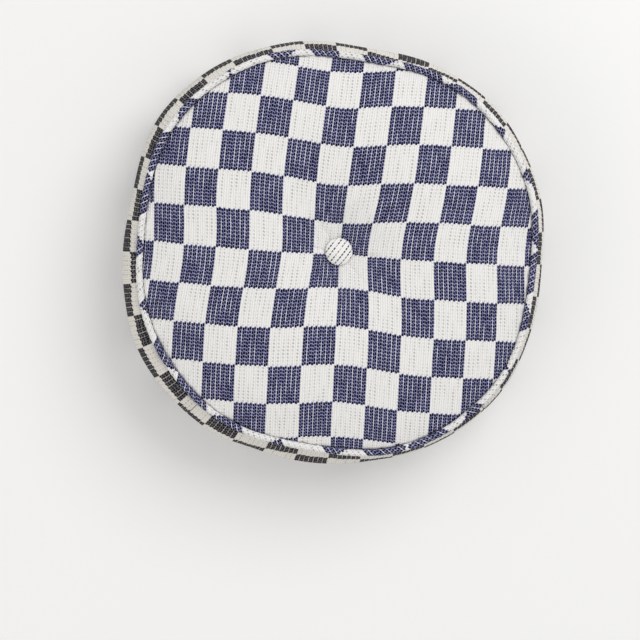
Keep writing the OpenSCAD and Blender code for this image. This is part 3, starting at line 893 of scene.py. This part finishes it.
def makeButton(name, node, up):
    # a cap of a sphere, a straight edge with small pleats, and the cloth tucked under to a ring
    low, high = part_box(node)
    rim = low[2] if up > 0 else high[2]
    ball = (buttonRadius ** 2 + button["dome"] ** 2) / (2 * button["dome"])
    fullTilt = math.asin(buttonRadius / ball)
    tilt = np.linspace(0, fullTilt, 22)
    domeOut = ball * np.sin(tilt)
    domeUp = ball * np.cos(tilt) - ball + button["dome"] + button["skirt"]
    edge = np.radians(np.linspace(0, 90, 7)[1:])
    edgeOut = buttonRadius - 0.0009 * (1 - np.cos(edge))
    edgeUp = button["skirt"] - 0.0003 - 0.0012 * np.sin(edge)
    under = np.linspace(buttonRadius - 0.0012, button["tuck"], 6)
    out = np.concatenate([domeOut, edgeOut, under])
    rise = np.concatenate([domeUp, edgeUp, 0 * under])
    length = np.concatenate([[0], np.cumsum(np.hypot(np.diff(out), np.diff(rise)))])
    around = np.arange(button["around"]) * 360 / button["around"]
    around, column = np.meshgrid(around, np.arange(len(out)), indexing="ij")
    pleat = button["pleatDeep"] * np.cos(np.radians(button["pleats"] * around))
    pleat = pleat * smooth(0.75, 1.0, length[column] / buttonRadius)
    dent = 0.00012 * np.cos(np.radians(7 * around)) * (out[column] / buttonRadius) ** 2
    height = rim + up * (rise[column] + dent * (out[column] / buttonRadius))
    points = place(around, out[column] + pleat, height)
    turn = np.radians(around + buttonLook["turn"])
    across = length[column] * np.cos(turn) / buttonLook["line"]
    along = length[column] * np.sin(turn) / buttonLook["dash"]
    cloth = np.stack([across, along], axis=-1) + 10.35
    piece(name, [grid(points, wrapped(cloth), wrapRows=True, flip=up > 0)], buttonMaterial, [node],
          wall=button["wall"])


makeButton("top_button_cloth", "top_button_cover", 1)
makeButton("bottom_button_cloth", "bottom_button_cover", -1)
print("buttons made")


# Foam and wadding.

filling = {
    "around": 180,
    "batting": 0.008,           # thickness of the wadding
    "gap": 0.0003,
    "foamIn": 0.013,            # how far inside the seam the foam's faces end
    "battingIn": 0.010,         # and the wadding's
    "hole": 0.0027,             # for the twine
}


def revolve(name, node, section, material, fluff):
    # a closed section of (radius, height, how much it follows the seam rather than the side) carried round
    out, rise, toSeam = section
    around, column = np.meshgrid(np.arange(filling["around"]) * 2.0, np.arange(len(out)), indexing="ij")
    stretch = 1 + (seamStretch(around) * toSeam[column] + sideStretch(around) * (1 - toSeam[column]) - 1) \
        * np.clip(out[column] / panel["edge"], 0, 1) ** 2
    bumps = np.cos(np.radians(around * 17 + column * 23)) * np.cos(np.radians(around * 5 - column * 31))
    bumps = fluff * bumps
    inside = np.clip(out[column] / 0.02 - 0.3, 0, 1)
    points = place(around, out[column] * stretch - np.abs(bumps) * inside, rise[column])
    piece(name, [grid(points, wrapRows=True, wrapColumns=True)], material, [node])


def layerSection(heightAt, inset, thick, edge, facing):
    # between two copies of a panel's curve, one layer's thickness apart
    radius = np.linspace(filling["hole"], edge, 40)
    outer = heightAt(radius) - facing * inset
    inner = heightAt(radius[::-1]) - facing * (inset + thick)
    out = np.concatenate([radius, radius[::-1]])
    return out, np.concatenate([outer, inner]), np.ones(len(out))


def bandSection():
    # the wadding round the side: two arcs, the outer one with a groove where the zip and its tape lie
    tilt = np.linspace(-1, 1, 30) * (body["seamAngle"] - math.radians(9.4))
    inset = body["clothThick"] + filling["gap"] + 0.0020
    reach = body["arcRadius"] - inset
    inner = body["arcRadius"] - inset - filling["batting"] + 0.0022
    groove = smooth(math.radians(7.5), math.radians(13.5), np.abs(tilt))
    reach = reach - 0.0040 * (1 - groove)
    out = body["arcCentre"] + np.concatenate([reach * np.cos(tilt), inner * np.cos(tilt[::-1])])
    rise = np.concatenate([midZ + reach * np.sin(tilt), midZ + inner * np.sin(tilt[::-1])])
    return out, rise, 0 * out


def foamSection():
    # the foam: the top's curve, the side's arc and the bottom's curve, one wadding's thickness inside
    inset = body["clothThick"] + 2 * filling["gap"] + filling["batting"]
    edge = body["seamRadius"] - filling["foamIn"]
    radius = np.linspace(filling["hole"], edge, 36)
    tilt = np.linspace(1, -1, 20) * (body["seamAngle"] - math.radians(7.4))
    reach = body["arcRadius"] - inset - 0.0006
    out = np.concatenate([radius, body["arcCentre"] + reach * np.cos(tilt), radius[::-1]])
    side = midZ + reach * np.sin(tilt)
    rise = np.concatenate([topHeight(radius) - inset, side, underHeight(radius[::-1]) + inset])
    toSeam = np.concatenate([np.ones(36), np.zeros(20), np.ones(36)])
    return out, rise, toSeam


layerIn = body["clothThick"] + filling["gap"] + 0.0016
layerThick = filling["batting"] - 0.0018
revolve("foam", "foam_core", foamSection(), foamMaterial, 0.0004)
battingEdge = body["seamRadius"] - filling["battingIn"]
topLayer = layerSection(topHeight, layerIn, layerThick, battingEdge, 1)
underLayer = layerSection(underHeight, layerIn - 0.001, layerThick, battingEdge, -1)
revolve("wadding_top", "batting_top", topLayer, waddingMaterial, 0.0012)
revolve("wadding_bottom", "batting_bottom", underLayer, waddingMaterial, 0.0012)
revolve("wadding_band", "batting_band", bandSection(), waddingMaterial, 0.0006)
print("filling made")


# The rows of stitches beside the zip and at its ends.

stitch = {"pitch": 0.0034, "long": 0.0026, "thick": 0.00075, "fromFold": 0.0042}


def stitchRow(around, height, alongUp=False):
    # short rounded threads, sunk at both ends, one for each place on the row
    length, turn = np.meshgrid(np.linspace(-1, 1, 7), np.arange(6) * 60, indexing="ij")
    thick = stitch["thick"] / 2 * np.sqrt(np.clip(1 - length ** 2, 0, 1))
    reach = length * stitch["long"] / 2
    lift = thick * np.cos(np.radians(turn)) - 0.0003 * length ** 4
    side = thick * np.sin(np.radians(turn))
    shape = np.stack([reach, side, lift], axis=-1).reshape(-1, 3)
    faces, _ = gridFaces(7, 6, False, True)
    share = np.arcsin(height / body["arcRadius"]) / body["seamAngle"]
    centre = sidePoint(around, share)
    angle = np.radians(around)
    out = np.stack([np.cos(angle), np.sin(angle), 0 * angle], axis=-1)
    run = np.stack([-np.sin(angle), np.cos(angle), 0 * angle], axis=-1)
    up = np.broadcast_to([0.0, 0.0, 1.0], run.shape)
    first, second = (up, run) if alongUp else (run, up)
    places = (centre[:, None] + first[:, None] * shape[None, :, :1] + second[:, None] * shape[None, :, 1:2]
              + out[:, None] * shape[None, :, 2:3])
    return repeated(shape, faces, places)


def zipStitches():
    step = math.degrees(stitch["pitch"] / edgeRadius)
    around = np.arange(90 - zipReach + 0.6, 90 + zipReach - 0.6, step)
    fromMiddle = placketHalf + stitch["fromFold"]
    rows = [stitchRow(around, np.full(len(around), side * fromMiddle)) for side in (-1, 1)]
    height = np.arange(-0.040, 0.0401, stitch["pitch"])
    for end in (-1, 1):
        for gap in (0.5, 1.9):
            at = np.full(len(height), 90 + end * (zipReach + gap))
            rows.append(stitchRow(at, height, alongUp=True))
    return rows


piece("zip_stitching", zipStitches(), threadMaterial)
print("stitches made")


# Metal, tape, teeth and twine keep their own meshes and get their finishes here.

finishes = {
    steelMaterial: ("top_button_cap", "top_button_back", "top_button_eye",
                    "bottom_button_cap", "bottom_button_back", "bottom_button_eye"),
    twineMaterial: ("tufting_twine",),
    tapeMaterial: ("zip_tape_upper", "zip_tape_lower"),
    teethMaterial: ("zip_teeth_upper", "zip_teeth_lower"),
    nickelMaterial: ("zip_top_stops", "zip_bottom_stop", "zip_slider", "zip_pull"),
}
for material, names in finishes.items():
    for name in names:
        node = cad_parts[name]
        node.data.materials.clear()
        node.data.materials.append(material)


# Floor, light and camera.

stageLook = {
    "floor": 16.0,
    "floorTones": ((254, 254, 253), (250, 250, 249)),
    "floorDrop": 0.0003,        # just below the cushion, so that the two never share a plane
    "fade": (0.8, 3.2),         # the floor turns into the room's tone between these distances
    "room": (228, 228, 226),
    "roomLight": 0.63,
    "window": {"where": (-1.3, -1.5, 2.4), "side": 2.2, "power": 37, "colour": (1.0, 0.988, 0.972)},
    "bounce": {"where": (1.8, 1.2, 1.6), "side": 2.0, "power": 8.4, "colour": (1.0, 0.93, 0.83)},
}
cameraLook = {
    "lean": (5, -1),            # degrees off straight down, towards +X and +Y
    "away": 2.3,
    "aim": (0.0162, 0.0746),    # the middle of the view, from the cushion's middle
    "lens": 120,
}


def floorMaterial():
    # pale and matt, and clear from below so that the underside can be looked at
    material, tree, shader = newMaterial("pale floor", 0.8)
    cloudy = noise(tree, objectPlace(tree), 1.3, 2.0)
    light, shade = [tone(*colour) for colour in stageLook["floorTones"]]
    tree.links.new(blendColour(tree, cloudy, light, shade), shader.inputs["Base Color"])
    x, y, z = split(tree, objectPlace(tree))
    away = calc(tree, "SQRT", calc(tree, "MULTIPLY_ADD", x, x, calc(tree, "MULTIPLY", y, y)))
    far = tree.nodes.new("ShaderNodeEmission")          # it fades into the room's own tone far away
    far.inputs["Color"].default_value = tone(*stageLook["room"])
    fade = tree.nodes.new("ShaderNodeMixShader")
    tree.links.new(ramp(tree, away, *stageLook["fade"]), fade.inputs[0])
    tree.links.new(shader.outputs[0], fade.inputs[1])
    tree.links.new(far.outputs[0], fade.inputs[2])
    clear = tree.nodes.new("ShaderNodeBsdfTransparent")
    choose = tree.nodes.new("ShaderNodeMixShader")
    side = tree.nodes.new("ShaderNodeNewGeometry")
    tree.links.new(side.outputs["Backfacing"], choose.inputs[0])
    tree.links.new(fade.outputs[0], choose.inputs[1])
    tree.links.new(clear.outputs[0], choose.inputs[2])
    tree.links.new(choose.outputs[0], tree.nodes["Material Output"].inputs["Surface"])
    return material


def makeFloor():
    half = stageLook["floor"] / 2
    corners = [(-half, -half), (half, -half), (half, half), (-half, half)]
    mesh = bpy.data.meshes.new("floor")
    mesh.from_pydata([(x, y, -stageLook["floorDrop"]) for x, y in corners], [], [(0, 1, 2, 3)])
    mesh.materials.append(floorMaterial())
    floor = bpy.data.objects.new("floor", mesh)
    bpy.context.scene.collection.objects.link(floor)
    floor.visible_diffuse = False       # so that the underside is lit when it is looked at from below
    floor.visible_shadow = False


def areaLight(name):
    # a soft disk that faces the cushion's middle
    look = stageLook[name]
    lamp = bpy.data.lights.new(name, "AREA")
    lamp.shape = "DISK"
    lamp.size = look["side"]
    lamp.energy = look["power"]
    lamp.color = look["colour"]
    thing = bpy.data.objects.new(name, lamp)
    thing.location = look["where"]
    toCushion = Vector((0, 0, 0.06)) - Vector(look["where"])
    thing.rotation_euler = toCushion.to_track_quat("-Z", "Y").to_euler()
    bpy.context.scene.collection.objects.link(thing)


def makeWorld(strength, colour):
    world = bpy.data.worlds.new("soft room")
    world.use_nodes = True
    tree = world.node_tree
    room = tree.nodes["Background"]
    room.inputs["Color"].default_value = (*colour, 1)
    room.inputs["Strength"].default_value = strength
    seen = tree.nodes.new("ShaderNodeBackground")       # what the camera sees past the floor's edge
    seen.inputs["Color"].default_value = tone(*stageLook["room"])
    path = tree.nodes.new("ShaderNodeLightPath")
    choose = tree.nodes.new("ShaderNodeMixShader")
    tree.links.new(path.outputs["Is Camera Ray"], choose.inputs[0])
    tree.links.new(room.outputs[0], choose.inputs[1])
    tree.links.new(seen.outputs[0], choose.inputs[2])
    tree.links.new(choose.outputs[0], tree.nodes["World Output"].inputs["Surface"])
    bpy.context.scene.world = world


def makeCamera():
    # nearly straight down on to the cushion, a little from its +X side, with +Y at the bottom of the view
    leanX, leanY = [math.tan(math.radians(angle)) for angle in cameraLook["lean"]]
    lean = Vector((leanX, leanY, 1)).normalized()
    centre = Vector((0, 0, midZ))
    where = centre + lean * cameraLook["away"]
    aim = centre + Vector((*cameraLook["aim"], 0))
    back = (where - aim).normalized()
    right = Vector((0, -1, 0)).cross(back).normalized()
    up = back.cross(right)
    camera = bpy.data.cameras.new("camera")
    camera.sensor_width = 36
    camera.lens = cameraLook["lens"]
    camera.clip_start = 0.05
    thing = bpy.data.objects.new("camera", camera)
    thing.rotation_mode = "QUATERNION"
    turn = [[right[i], up[i], back[i]] for i in range(3)]
    thing.rotation_quaternion = Matrix(turn).to_quaternion()
    thing.location = where
    bpy.context.scene.collection.objects.link(thing)
    bpy.context.scene.camera = thing


makeFloor()
makeWorld(stageLook["roomLight"], (0.985, 0.99, 1.0))
areaLight("window")
areaLight("bounce")
makeCamera()
bpy.context.scene.view_settings.view_transform = "Standard"

print("finishing")
